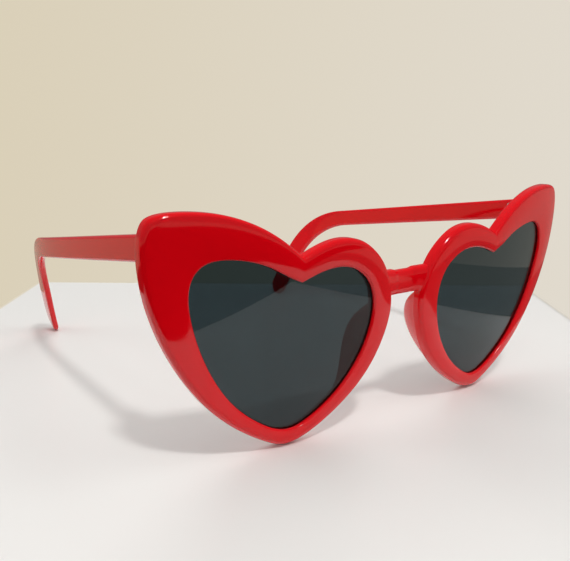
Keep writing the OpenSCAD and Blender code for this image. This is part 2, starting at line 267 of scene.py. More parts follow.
@dataclass
class Wiring:
    """Adds nodes to a tree and wires them to each other."""

    tree: NodeTree

    def feed(self, target: NodeSocket, value: object) -> None:
        """Set one input to a value or colour, or wire it to an output.

        Args:
            target: The input.
            value: What it gets.
        """
        if isinstance(value, NodeSocket):
            self.tree.links.new(value, target)
        else:
            target.default_value = (*value, 1) if target.type == "RGBA" else value

    def put(self, node: Node, *values: object, **named: object) -> None:
        """Fill a node's inputs with values, or wire them to the outputs given.

        Args:
            node: The node.
            *values: What its inputs in use get, in their order.
            **named: What its inputs get by name, with an underscore for a space.
        """
        targets = [target for target in node.inputs if target.enabled][:len(values)]
        targets += [node.inputs[name.replace("_", " ")] for name in named]
        for target, value in zip(targets, (*values, *named.values())):
            self.feed(target, value)

    def add(self, kind: str, *values: object, **named: object) -> NodeSocket:
        """Add a node.

        Args:
            kind: The node's type.
            *values: What its inputs in use get, in their order.
            **named: Its properties by name, and its inputs by name with a capital.

        Returns:
            The node's first output in use.
        """
        node = self.tree.nodes.new(kind)
        for name in [name for name in named if name.islower()]:
            setattr(node, name, named.pop(name))
        self.put(node, *values, **named)
        return next(output for output in node.outputs if output.enabled)

    def node(self, kind: str, *values: object) -> Node:
        """Return a new node, for those with several outputs in use."""
        return self.add(kind, *values).node

    def sum(self, operation: str, *values: object) -> NodeSocket:
        """Return what a Math node's operation makes of numbers or outputs."""
        return self.add("ShaderNodeMath", *values, operation=operation)

    def vectors(self, operation: str, *values: object) -> NodeSocket:
        """Return what a Vector Math node's operation makes of vectors or outputs."""
        return self.add("ShaderNodeVectorMath", *values, operation=operation)

    def along(self, place: NodeSocket, way: Vector, start: float) -> NodeSocket:
        """Return how far a place lies along a direction, from a start in metres."""
        return self.sum("SUBTRACT", self.vectors("DOT_PRODUCT", place, way), start)

    def blend(self, share: NodeSocket, low: object, high: object) -> NodeSocket:
        """Return a colour between two colours, by a share."""
        return self.add("ShaderNodeMix", share, low, high, data_type="RGBA")

    def place(self) -> NodeSocket:
        """Return the place in Object coordinates."""
        return self.node("ShaderNodeTexCoord").outputs["Object"]

    def noise(self, place: NodeSocket, scale: float, detail: float) -> NodeSocket:
        """Return noise over places."""
        return self.add("ShaderNodeTexNoise", Vector=place, Scale=scale, Detail=detail)

    def spread(self, share: NodeSocket, size: float, ends: Pair) -> NodeSocket:
        """Return a share of 0 to 1 spread between two ends, both times a size."""
        return self.add("ShaderNodeMapRange", share, To_Min=size * ends[0], To_Max=size * ends[1])

    def vector(self, **parts: object) -> NodeSocket:
        """Return a vector made from its X, Y and Z."""
        return self.add("ShaderNodeCombineXYZ", **parts)

    def raised(self, geometry: NodeSocket, height: NodeSocket) -> NodeSocket:
        """Return a geometry moved up."""
        return self.add("GeometryNodeTransform", geometry, Translation=self.vector(Z=height))

    def named(self, kind: str, name: str) -> NodeSocket:
        """Return a named attribute of the geometry, of one data type."""
        return self.add("GeometryNodeInputNamedAttribute", name, data_type=kind)

    def store(self, geometry: NodeSocket, name: str, value: NodeSocket) -> NodeSocket:
        """Return the geometry with a vector stored under a name on its points."""
        return self.add("GeometryNodeStoreNamedAttribute", data_type="FLOAT_VECTOR", domain="POINT",
                        Geometry=geometry, Name=name, Value=value)

    def give(self, geometry: NodeSocket, material: NodeSocket) -> NodeTree:
        """End a Geometry Nodes tree with plain geometry in one finish.

        Args:
            geometry: The geometry.
            material: The finish.

        Returns:
            The tree.
        """
        whole = self.add("GeometryNodeRealizeInstances", geometry)
        dressed = self.add("GeometryNodeSetMaterial", whole, Material=material)
        self.put(self.tree.nodes.new("NodeGroupOutput"), dressed)
        return self.tree

    def show(self, surface: NodeSocket) -> None:
        """Wire a surface to the material's output."""
        self.put(self.tree.nodes["Material Output"], Surface=surface)


def shape_tree(name: str, inputs: Sequence[tuple[str, str, object]]) -> tuple[Wiring, Node]:
    """Start a Geometry Nodes tree that takes and gives one geometry.

    Args:
        name: The tree's name.
        inputs: Its further inputs, each a name, a socket type and a value.

    Returns:
        The wiring and the tree's input node.
    """
    tree = bpy.data.node_groups.new(name, "GeometryNodeTree")
    for way in ("INPUT", "OUTPUT"):
        tree.interface.new_socket("Geometry", in_out=way, socket_type="NodeSocketGeometry")
    for label, kind, value in inputs:
        socket = tree.interface.new_socket(label, in_out="INPUT", socket_type=kind)
        if value is not None:
            socket.default_value = value
    return Wiring(tree), tree.nodes.new("NodeGroupInput")


def grown(name: str, base: Mesh, tree: NodeTree, values: dict[str, object], sharp: float) -> Object:
    """Run a Geometry Nodes tree on a base mesh and keep the result as a plain mesh.

    Args:
        name: Name of the finished object.
        base: Mesh that the tree starts from.
        tree: The tree.
        values: The tree's inputs by name.
        sharp: Angle in degrees past which an edge stays sharp.

    Returns:
        The finished object, with no modifier left on it.
    """
    made = linked(name, base)
    modifier = made.modifiers.new("shape", "NODES")
    modifier.node_group = tree
    for item in tree.interface.items_tree:
        if item.item_type == "SOCKET" and item.in_out == "INPUT" and item.name in values:
            modifier[item.identifier] = values[item.name]
    made.update_tag()
    bpy.context.view_layer.update()
    mesh = bpy.data.meshes.new_from_object(made.evaluated_get(bpy.context.evaluated_depsgraph_get()))
    made.modifiers.clear()
    made.data = mesh
    bpy.data.meshes.remove(base)
    mesh.name = name
    for extra in [a.name for a in mesh.attributes if a.name in CARRIED]:
        mesh.attributes.remove(mesh.attributes[extra])
    settled(mesh, sharp, WELD)
    return made


# Finishes: each noise is a scale and a detail, and each pair of ends multiplies a size


def new_material(name: str) -> tuple[Material, Wiring, Node]:
    """Start a material.

    Args:
        name: Its name.

    Returns:
        The material, its wiring and its Principled BSDF node.
    """
    material = bpy.data.materials.new(name)
    material.use_nodes = True
    return material, Wiring(material.node_tree), material.node_tree.nodes["Principled BSDF"]


@dataclass(frozen=True)
class RedPlastic:
    """High gloss moulded plastic, with a faint waviness from the mould."""

    colour: Triple = (0.76, 0.001, 0.006)
    deep_colour: Triple = (0.7, 0.0008, 0.005)
    cloud: Pair = (22.0, 2.0)
    roughness: float = 0.065
    rub: Pair = (900.0, 3.0)
    rub_ends: Pair = (0.7, 1.4)
    wave: Pair = (140.0, 1.0)
    wave_strength: float = 0.35
    wave_depth: float = 0.00002
    bend: float = 1.49

    def build(self) -> Material:
        """Build the material.

        Returns:
            The finished material.
        """
        material, wiring, shader = new_material("red_plastic_gloss")
        place = wiring.place()
        bump = wiring.add("ShaderNodeBump", Height=wiring.noise(place, *self.wave),
                          Strength=self.wave_strength, Distance=self.wave_depth)
        wiring.put(shader, Normal=bump, IOR=self.bend,
                   Roughness=wiring.spread(wiring.noise(place, *self.rub), self.roughness, self.rub_ends),
                   Base_Color=wiring.blend(wiring.noise(place, *self.cloud), self.deep_colour,
                                           self.colour))
        return material


@dataclass(frozen=True)
class SmokeTint:
    """Polished dark lens with a grey green dye that the table shows through."""

    dye: Triple = (0.031, 0.047, 0.053)
    dye_ends: Pair = (0.96, 1.04)
    cloud: Pair = (30.0, 2.0)
    bend: float = 1.4
    roughness: float = 0.015

    def build(self) -> Material:
        """Build the material.

        Returns:
            The finished material.
        """
        material, wiring, shader = new_material("lens_smoke")
        thin, deep = ([c * end for c in self.dye] for end in self.dye_ends)
        wiring.put(shader, Base_Color=wiring.blend(wiring.noise(wiring.place(), *self.cloud), thin, deep),
                   Roughness=self.roughness, IOR=self.bend, Transmission_Weight=1.0)
        return material


@dataclass(frozen=True)
class PlatedSteel:
    """Plain plated hinge steel with fine drawn lines."""

    colour: Triple = (0.62, 0.62, 0.64)
    dull_share: float = 0.88
    roughness: float = 0.28
    rub_ends: Pair = (0.7, 1.5)
    draw: Triple = (1.0, 0.15, 1.0)
    lines: Pair = (9000.0, 2.0)
    line_strength: float = 0.3
    line_depth: float = 0.000004

    def build(self) -> Material:
        """Build the material.

        Returns:
            The finished material.
        """
        material, wiring, shader = new_material("hinge_steel_plated")
        drawn = wiring.add("ShaderNodeMapping", wiring.place(), Scale=self.draw)
        lines = wiring.noise(drawn, *self.lines)
        bump = wiring.add("ShaderNodeBump", Height=lines, Strength=self.line_strength,
                          Distance=self.line_depth)
        dull = [c * self.dull_share for c in self.colour]
        wiring.put(shader, Base_Color=wiring.blend(lines, dull, self.colour), Normal=bump, Metallic=1.0,
                   Roughness=wiring.spread(lines, self.roughness, self.rub_ends))
        return material


# The shapes that all pieces share


@dataclass(frozen=True)
class HingeLine:
    """The axis on which the left temple turns, in millimetres and radians."""

    x: float
    y: float
    z: float
    lean: float
    inner_offset: float = 1.58

    @classmethod
    def from_frame(cls) -> "HingeLine":
        """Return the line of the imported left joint."""
        joint = next(j for j in frame["joints"] if j["name"] == "left_hinge")
        return cls(*(c / MM for c in joint["pos_m"]), atan2(joint["axis"][1], joint["axis"][2]))

    @property
    def inner_x(self) -> float:
        """Return how far from the middle the inner faces of the temples start."""
        return self.x + self.inner_offset

    @property
    def up(self) -> np.ndarray:
        """Return the direction of the axis."""
        return np.array([0, sin(self.lean), cos(self.lean)])

    def placed(self, x: float, along: float, up: float) -> np.ndarray:
        """Return the place at x, so far along the temple and up the axis from the hinge."""
        c, s = cos(self.lean), sin(self.lean)
        return np.array([x, self.y + along * c + up * s, self.z - along * s + up * c])


@dataclass(frozen=True)
class HeartOutline:
    """Outlines of one heart rim and of its lens opening, on the left side.

    Each outline is a row of points from the notch, as shares of its width and height. The
    nose points are the first and the last of those beside the nose.
    """

    lens_width: float = 51.2
    lens_height: float = 46.3
    rim_nose: float = 6.7
    rim_foot: float = 4.8
    wing_width: float = 10
    wing_height: float = 11
    nose_gap: float = 10.4
    steps: int = 12
    size_steps: int = 3
    evening_rounds: int = 36
    nose_points: tuple[int, int] = (4, 12)
    rim_shares: tuple[Pair, ...] = (
        (0.436, 0.804), (0.368, 0.838), (0.278, 0.863), (0.174, 0.847), (0.085, 0.775),
        (0.033, 0.692), (0.000, 0.570), (0.010, 0.463), (0.048, 0.346), (0.117, 0.230),
        (0.222, 0.124), (0.338, 0.040), (0.444, 0.000), (0.534, 0.037), (0.665, 0.130),
        (0.778, 0.248), (0.867, 0.386), (0.937, 0.537), (0.984, 0.697), (1.000, 0.859),
        (0.986, 0.953), (0.953, 0.989), (0.866, 1.000), (0.734, 0.986), (0.610, 0.938),
        (0.511, 0.873),
    )
    lens_shares: tuple[Pair, ...] = (
        (0.454, 0.846), (0.357, 0.886), (0.256, 0.906), (0.149, 0.888), (0.048, 0.806),
        (0.008, 0.705), (0.000, 0.605), (0.019, 0.484), (0.068, 0.348), (0.159, 0.203),
        (0.268, 0.096), (0.372, 0.025), (0.446, 0.000), (0.535, 0.016), (0.676, 0.116),
        (0.803, 0.254), (0.903, 0.436), (0.965, 0.611), (1.000, 0.785), (0.991, 0.906),
        (0.945, 0.975), (0.884, 1.000), (0.804, 0.999), (0.706, 0.978), (0.614, 0.940),
        (0.526, 0.882),
    )

    @property
    def width(self) -> float:
        """Return the width of one heart."""
        return self.rim_nose + self.lens_width + self.wing_width

    @property
    def height(self) -> float:
        """Return the height of one heart."""
        return self.rim_foot + self.lens_height + self.wing_height

    @property
    def lens_corner(self) -> np.ndarray:
        """Return the lower corner of the lens opening's box."""
        return np.array([self.nose_gap / 2 + self.rim_nose, self.rim_foot])

    def drawn(self, shares: Sequence[Pair], width: float, height: float) -> np.ndarray:
        """Draw an outline that fills a width and a height, with its bends evened out.

        Args:
            shares: Its points as shares of its size.
            width: Its width.
            height: Its height.

        Returns:
            The outline's places, one row each.
        """
        points = np.array(shares)
        coarse = smooth_line(points, self.size_steps)
        low, high = coarse.min(0), coarse.max(0)
        line = (smooth_line(points, self.steps) - low) / (high - low) * [width, height]
        for _ in range(self.evening_rounds):
            line[1:] = (line[:-1] + 2 * line[1:] + np.roll(line, -1, 0)[1:]) / 4
        return line

    def rim(self) -> np.ndarray:
        """Return the outer outline of the heart."""
        return self.drawn(self.rim_shares, self.width, self.height) + [self.nose_gap / 2, 0]

    def lens(self) -> np.ndarray:
        """Return the outline of the lens opening."""
        return self.drawn(self.lens_shares, self.lens_width, self.lens_height) + self.lens_corner

    def nose_side(self, z: float) -> float:
        """Find where the rim starts beside the nose.

        Args:
            z: The height.

        Returns:
            The rim's distance from the middle at that height.
        """
        first, last = (point * self.steps for point in self.nose_points)
        side = self.rim()[first:last + 1][::-1]
        return float(np.interp(z, side[:, 1], side[:, 0]))


@dataclass(frozen=True)
class FaceCurve:
    """The surface of the front, curved across the face and from top to bottom."""

    hinge: HingeLine = field(default_factory=HingeLine.from_frame)
    heart: HeartOutline = field(default_factory=HeartOutline)
    wrap_radius: float = 212
    wrap_start: float = 17
    dome_radius: float = 315
    lean: float = 5.2
    thick: float = 3.4
    end_length: float = 6.9

    @property
    def shift(self) -> float:
        """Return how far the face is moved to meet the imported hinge."""
        root = self.depth(self.hinge.inner_x, self.hinge.z)
        return self.hinge.y - root - self.thick - self.end_length

    def depth(self, x: Numbers, z: Numbers) -> Numbers:
        """Find how far back the front's face lies.

        Args:
            x: Places across the front.
            z: Places up the front.

        Returns:
            The depth at each of them.
        """
        rise = z - self.heart.height / 2
        return ((np.abs(x) - self.wrap_start) ** 2 / (2 * self.wrap_radius)
                + rise ** 2 / (2 * self.dome_radius) - rise * tan(radians(self.lean)))

    def behind(self, places: np.ndarray, back: Numbers) -> np.ndarray:
        """Return flat places put on the front, at a distance behind its face."""
        x, z = places[..., 0], places[..., 1]
        return spots(x, self.depth(x, z) + back + self.shift, z)


# Parts of the pair


@dataclass
class FrontFrame:
    """The moulded front: two heart rims, the bridge, the nose pads and the end pieces.

    A start is the share of a quarter turn or of a length at which a form begins, a share
    is one of the heart's height, and a power shapes a curve or a section.
    """

    curve: FaceCurve = field(default_factory=FaceCurve)
    edge_radius: float = 1.2
    edge_steps: int = 10
    crown: float = 0.3
    crown_power: float = 2
    face_start: float = 0.05
    face_steps: int = 14
    lip_width: float = 0.36
    lip_depth: float = 0.35
    lip_start: float = 0.1
    lip_power: float = 0.6
    lip_steps: int = 5
    groove_depth: float = 0.88
    groove_front: float = 0.82
    groove_back: float = 2.48
    inner_start: float = 0.2
    inner_steps: int = 4
    back_places: tuple[float, ...] = (0.3, 0.6, 0.9)
    back_radius: float = 0.6
    back_steps: int = 6
    bridge_share: float = 0.635
    bridge_height: float = 7.1
    bridge_thick: float = 3.1
    bridge_root: float = 3.0
    bridge_sag: float = 0.4
    bridge_set: float = 1.3
    bridge_trim: float = 0.5
    bridge_fillet: float = 0.8
    bridge_power: float = 0.62
    bridge_steps: int = 61
    bridge_points: int = 56
    shoulder_start: float = 2.3
    shoulder_run: float = 1.9
    shoulder_rise: float = 0.35
    shoulder_swell: float = 0.5
    pad_top_share: float = 0.576
    pad_depth: float = 9.3
    pad_thick: float = 3.9
    pad_thinned: float = 0.72
    pad_height: float = 30
    pad_splay: float = 18
    pad_sink: float = 1.2
    pad_edge: float = 0.2
    pad_powers: tuple[float, float, float] = (0.64, 1.38, 0.78)
    pad_steps: int = 49
    pad_points: int = 40
    end_flare: float = 0.9
    end_start: float = 0.15
    end_power: float = 2.6
    end_inset: float = 2
    end_sink: float = 0.8
    end_steps: int = 25
    end_points: int = 48

    def crowned(self, reach: Numbers, width: np.ndarray) -> np.ndarray:
        """Return the face's depth, negative forwards, at a reach in from the outer outline."""
        share = np.clip(reach / width, 0, 1)
        return -self.crown * (1 - np.abs(1 - 2 * share) ** self.crown_power)

    def rim_skin(self) -> Skin:
        """Skin the left rim: rounded edge, crowned face, lip, groove and back.

        Returns:
            The closed shell.
        """
        rim, lens = self.curve.heart.rim(), self.curve.heart.lens()
        inward = unit(lens - rim)
        width = np.linalg.norm(lens - rim, axis=1)
        face = width - self.lip_width
        rings: list[np.ndarray] = []

        def rim_side(reach: Numbers, back: Numbers) -> None:
            """Add a ring at a reach in from the outer outline."""
            rings.append(self.curve.behind(rim + inward * np.reshape(reach, (-1, 1)), back))

        def lens_side(reach: float, back: float) -> None:
            """Add a ring at a reach out from the opening."""
            rings.append(self.curve.behind(lens - inward * reach, back))

        for turn in np.linspace(0, QUARTER, self.edge_steps):
            reach = self.edge_radius * (1 - cos(turn))
            rim_side(reach, self.edge_radius * (1 - sin(turn)) + self.crowned(reach, face))
        for share in np.linspace(self.face_start, 1, self.face_steps):
            reach = self.edge_radius + (face - self.edge_radius) * share
            rim_side(reach, self.crowned(reach, face))
        for turn in np.linspace(self.lip_start, 1, self.lip_steps) * QUARTER:
            lens_side(self.lip_width * cos(turn), self.lip_depth * (1 - cos(turn)) ** self.lip_power)
        back = self.curve.thick - self.lip_depth
        for reach, depth in ((0, self.groove_front), (self.groove_depth, self.groove_front),
                             (self.groove_depth, self.groove_back), (0, self.groove_back), (0, back)):
            lens_side(reach, depth)
        for turn in np.linspace(self.inner_start, 1, self.inner_steps) * QUARTER:
            lens_side(self.lip_depth * (1 - cos(turn)), back + self.lip_depth * sin(turn))
        inside = width - self.lip_depth - self.back_radius
        for share in self.back_places:
            rim_side(self.back_radius + inside * (1 - share), self.curve.thick)
        for turn in np.linspace(0, QUARTER, self.back_steps):
            rim_side(self.back_radius * (1 - sin(turn)),
                     self.curve.thick - self.back_radius * (1 - cos(turn)))
        rim_side(0.0, (self.curve.thick + self.edge_radius) / 2)
        return Skin.loft(np.stack(rings, 1), ring=True)

    def fillet(self, away: float) -> float:
        """Return how far the bridge spreads at a distance away from the side of the rim."""
        short = max(0.0, self.bridge_fillet - abs(away))
        return self.bridge_fillet - sqrt(self.bridge_fillet ** 2 - short ** 2)

    def shoulder(self, x: float) -> float:
        """Return the share of the raised shoulder that the bridge has at a place across."""
        share = min(max((abs(x) - self.shoulder_start) / self.shoulder_run, 0.0), 1.0)
        return share * share * (3 - 2 * share)

    def bridge_skin(self) -> Skin:
        """Skin the saddle that joins the rims, with a low shoulder towards each of them.

        Returns:
            The closed shell.
        """
        heart = self.curve.heart
        half = heart.nose_gap / 2 + self.bridge_root
        height = heart.height * self.bridge_share
        middle = self.curve.depth(heart.nose_gap / 2, height) + self.curve.thick / 2
        side_low = heart.nose_side(height - self.bridge_height / 2)
        sections = []
        for u in np.sin(np.linspace(1, -1, self.bridge_steps) * QUARTER):
            rise, shoulder = 1 - u * u, self.shoulder(u * half)
            low = self.bridge_height / 2 - self.bridge_trim + self.fillet(side_low - abs(u) * half)
            high = self.bridge_height / 2 + self.shoulder_rise * shoulder
            deep = (self.bridge_thick + self.shoulder_swell * shoulder) / 2
            ring = squarish(deep, 1, self.bridge_points, self.bridge_power)
            tall = np.where(ring[:, 1] > 0, ring[:, 1] * high, ring[:, 1] * low)
            y = middle + self.bridge_set * rise + ring[:, 0] + self.curve.shift
            sections.append(spots(u * half, y, height - self.bridge_sag * rise + tall))
        return Skin.loft(np.array(sections))

    def pad_skin(self) -> Skin:
        """Skin the left nose pad, swelling out of the back of the rim.

        Returns:
            The closed shell.
        """
        heart, splay = self.curve.heart, radians(self.pad_splay)
        run_power, swell_power, section_power = self.pad_powers
        thinned = self.pad_thinned
        sections = []
        for s in np.linspace(0, 1, self.pad_steps):
            z = heart.height * self.pad_top_share - self.pad_height * s
            swell = max(sin(pi * s ** run_power), 0) ** swell_power
            reach = self.pad_sink + swell * (self.pad_depth - self.pad_sink) / 2
            half = self.pad_thick / 2 * (thinned + (1 - thinned) * swell)
            ring = squarish(half, reach, self.pad_points, section_power) + [0, reach - self.pad_sink]
            x = heart.nose_side(z) + self.pad_edge + self.pad_thick / 2
            y = self.curve.depth(x, z) + self.curve.thick - self.pad_sink - self.pad_edge
            sections.append(spots(
                x + ring[:, 0] * cos(splay) + ring[:, 1] * sin(splay),
                y - ring[:, 0] * sin(splay) + ring[:, 1] * cos(splay) + self.curve.shift, z))
        return Skin.loft(np.array(sections))

    def end_skin(self, temple: "Temple") -> Skin:
        """Skin the left end piece, from the hinge line flared into the back of the wing.

        Args:
            temple: The temple that it meets, which gives the height and thickness there.

        Returns:
            The closed shell.
        """
        inner, hinge = self.curve.hinge.inner_x, temple.hinge
        depth = self.curve.depth(inner + self.end_inset, hinge.z)
        root_y = depth + self.curve.thick - self.end_sink + self.curve.shift
        joint = hinge.placed(0, -temple.gap / 2, 0)
        sections = []
        for s in np.linspace(0, 1, self.end_steps):
            grow = max(0.0, (s - self.end_start) / (1 - self.end_start)) ** self.end_power
            a = (temple.thick + self.end_flare * grow) / 2
            b = temple.high / 2 + self.end_flare * grow
            ring = corner_rounded(a, b, temple.edge_radius, self.end_points)
            up = unit(hinge.up * (1 - s) + np.array([0, 0, 1]) * s)
            middle = np.array([inner + a, joint[1] * (1 - s) + root_y * s,
                               joint[2] * (1 - s) + hinge.z * s])
            sections.append(middle + ring[:, :1] * [1, 0, 0] + ring[:, 1:] * up)
        return Skin.loft(np.array(sections))

    def build(self, temple: "Temple", plastic: Material) -> Object:
        """Build the front and put it in place of its solid.

        Args:
            temple: The left temple, which the end piece meets.
            plastic: The finish.

        Returns:
            The finished front.
        """
        half = self.rim_skin().joined(self.pad_skin(), self.end_skin(temple))
        made = make_object("heart_front", half.joined(half.mirrored(), self.bridge_skin()), plastic)
        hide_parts("front_frame")
        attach(made, "front")
        return made


@dataclass
class Lens:
    """A tinted lens, domed like the front and seated in the groove of its rim.

    Its faces are rings round a middle point, given as shares of the opening.
    """

    curve: FaceCurve = field(default_factory=FaceCurve)
    thick: float = 1.5
    inset: float = 0.9
    seat: float = 0.8
    middle_shares: Pair = (0.5, 0.55)
    ring_steps: int = 14

    def skin(self) -> Skin:
        """Skin the left lens.

        Returns:
            The closed shell.
        """
        heart, steps = self.curve.heart, self.ring_steps
        rim, lens = heart.rim(), heart.lens()
        edge = lens + unit(rim - lens) * self.seat
        middle = heart.lens_corner + np.array(self.middle_shares) * [heart.lens_width, heart.lens_height]
        backs = (self.inset, self.inset + self.thick)
        rings = [(r, backs[0]) for r in range(1, steps + 1)]
        rings += [(r, backs[1]) for r in range(steps, 0, -1)]
        sections = [self.curve.behind(middle + (edge - middle) * r / steps, back) for r, back in rings]
        return Skin.loft(np.array(sections), tips=np.array([self.curve.behind(middle, b) for b in backs]))

    def build(self, side: Side, tint: Material) -> Object:
        """Build one lens and put it in place of its solid.

        Args:
            side: Which lens.
            tint: The finish.

        Returns:
            The finished lens.
        """
        skin = self.skin() if side is Side.LEFT else self.skin().mirrored()
        made = make_object(f"{side.word}_smoke_lens", skin, tint)
        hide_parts(f"{side.word}_lens")
        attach(made, "front")
        return made


@dataclass
class Temple:
    """A temple: an arm that droops to the back, a bend, and an ear piece down to the table.

    The tip turns through its angle to close, and thins to its share of the thickness.
    """

    hinge: HingeLine = field(default_factory=HingeLine.from_frame)
    length: float = 129
    high: float = 6.4
    ear_high: float = 9.2
    thick: float = 3.6
    tip_thick: float = 2.0
    edge_radius: float = 0.95
    bend_corner: float = 111.5
    bend_run: float = 21
    toe_in: float = 13
    toe_power: float = 5
    gap: float = 0.08
    tip_turn: float = 88
    tip_share: float = 0.55
    tip_margin: float = 0.06
    arm_steps: int = 40
    bend_steps: int = 40
    ear_steps: int = 12
    tip_steps: int = 16
    section_points: int = 48
    sharp: float = 50

    def stations(self) -> list[tuple[np.ndarray, np.ndarray, float, float]]:
        """Set out the path from the hinge to the tip.

        Returns:
            Each station's place, heading, half height and share of the thickness.
        """
        tip = self.ear_high / 2
        foot = (tip + self.length * sin(self.hinge.lean) - self.hinge.z) / cos(self.hinge.lean)
        root, corner = np.array([self.gap / 2, 0.0]), np.array([self.bend_corner, 0.0])
        end = np.array([self.length - self.tip_margin, foot])
        down = unit(end - corner)
        start, close = corner - [self.bend_run, 0], corner + self.bend_run * down
        rows = [(root + (start - root) * k / self.arm_steps, np.array([1.0, 0]), self.high / 2, 1.0)
                for k in range(self.arm_steps + 1)]
        for k in range(1, self.bend_steps + 1):
            t = k / self.bend_steps
            place = (start * (1 - t) + corner * t) * (1 - t) + (corner * (1 - t) + close * t) * t
            heading = unit((corner - start) * (1 - t) + (close - corner) * t)
            rows.append((place, heading, (self.high + (self.ear_high - self.high) * t) / 2, 1.0))
        for k in range(1, self.ear_steps + 1):
            rows.append((close + (end - close) * k / self.ear_steps, down, tip, 1.0))
        for k in range(1, self.tip_steps + 1):
            turn = radians(self.tip_turn) * k / self.tip_steps
            share = self.tip_share + (1 - self.tip_share) * cos(turn)
            rows.append((end + down * tip * sin(turn), down, tip * cos(turn), share))
        return rows

    def path_mesh(self, side: Side) -> Mesh:
        """Make the path that the section is swept along, with the section's size at each place.

        Args:
            side: Which temple.

        Returns:
            A mesh of one open line.
        """
        points, rise, high, thick = [], [], [], []
        for place, ahead, half, share in self.stations():
            along = place[0] / self.length
            x = self.hinge.inner_x + self.thick / 2 - self.toe_in * abs(along) ** self.toe_power
            points.append(self.hinge.placed(side.value * x, place[0], place[1]))
            rise.append(self.hinge.placed(0, -ahead[1], ahead[0]) - self.hinge.placed(0, 0, 0))
            high.append(half * MM)
            thick.append((self.thick + (self.tip_thick - self.thick) * along * along) / 2 * share * MM)
        edges = [(i, i + 1) for i in range(len(points) - 1)]
        mesh = plain_mesh("temple_path", np.array(points), edges=edges)
        for name, values in (("high", high), ("thick", thick), ("rise", rise)):
            carry(mesh, name, np.array(values))
        return mesh

    def sweep_tree(self) -> NodeTree:
        """Build the tree that sweeps a section with rounded edges along the path.

        Returns:
            The tree.
        """
        wiring, start = shape_tree("swept_temple", [
            ("Edge radius", "NodeSocketFloat", self.edge_radius * MM),
            ("Section points", "NodeSocketInt", self.section_points),
            ("Plastic", "NodeSocketMaterial", None)])
        given, here = start.outputs, wiring.add("GeometryNodeInputPosition")
        path = wiring.store(wiring.add("GeometryNodeMeshToCurve", given["Geometry"]), "centre", here)
        count = given["Section points"]
        circle = wiring.add("GeometryNodeCurvePrimitiveCircle", count, Radius=1.0)
        half_step = wiring.vector(Z=wiring.sum("DIVIDE", pi, count))
        turned = wiring.add("GeometryNodeTransform", circle, Rotation=half_step)
        sweep = wiring.add("GeometryNodeCurveToMesh", path, Fill_Caps=True,
                           Profile_Curve=wiring.store(turned, "round", here))
        high = wiring.named("FLOAT", "high")
        parts = wiring.node("ShaderNodeSeparateXYZ", wiring.named("FLOAT_VECTOR", "round")).outputs
        reach = []
        for part, half in zip(parts, (wiring.named("FLOAT", "thick"), high)):
            least = wiring.sum("MINIMUM", wiring.sum("MINIMUM", given["Edge radius"], half), high)
            flat = wiring.sum("MULTIPLY", wiring.sum("SIGN", part), wiring.sum("SUBTRACT", half, least))
            reach.append(wiring.sum("ADD", flat, wiring.sum("MULTIPLY", least, part)))
        across = wiring.vectors("ADD", wiring.named("FLOAT_VECTOR", "centre"), wiring.vector(X=reach[0]))
        upward = wiring.vectors("SCALE", wiring.named("FLOAT_VECTOR", "rise"), reach[1])
        place = wiring.vectors("ADD", across, upward)
        moved = wiring.add("GeometryNodeSetPosition", sweep, Position=place)
        return wiring.give(moved, given["Plastic"])

    def build(self, side: Side, tree: NodeTree, plastic: Material) -> Object:
        """Build one temple and put it in place of its solid.

        Args:
            side: Which temple.
            tree: The sweeping tree.
            plastic: The finish.

        Returns:
            The finished temple.
        """
        values = {"Edge radius": self.edge_radius * MM, "Section points": self.section_points,
                  "Plastic": plastic}
        made = grown(f"{side.word}_swept_temple", self.path_mesh(side), tree, values, self.sharp)
        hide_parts(f"{side.word}_temple")
        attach(made, side.arm)
        return made


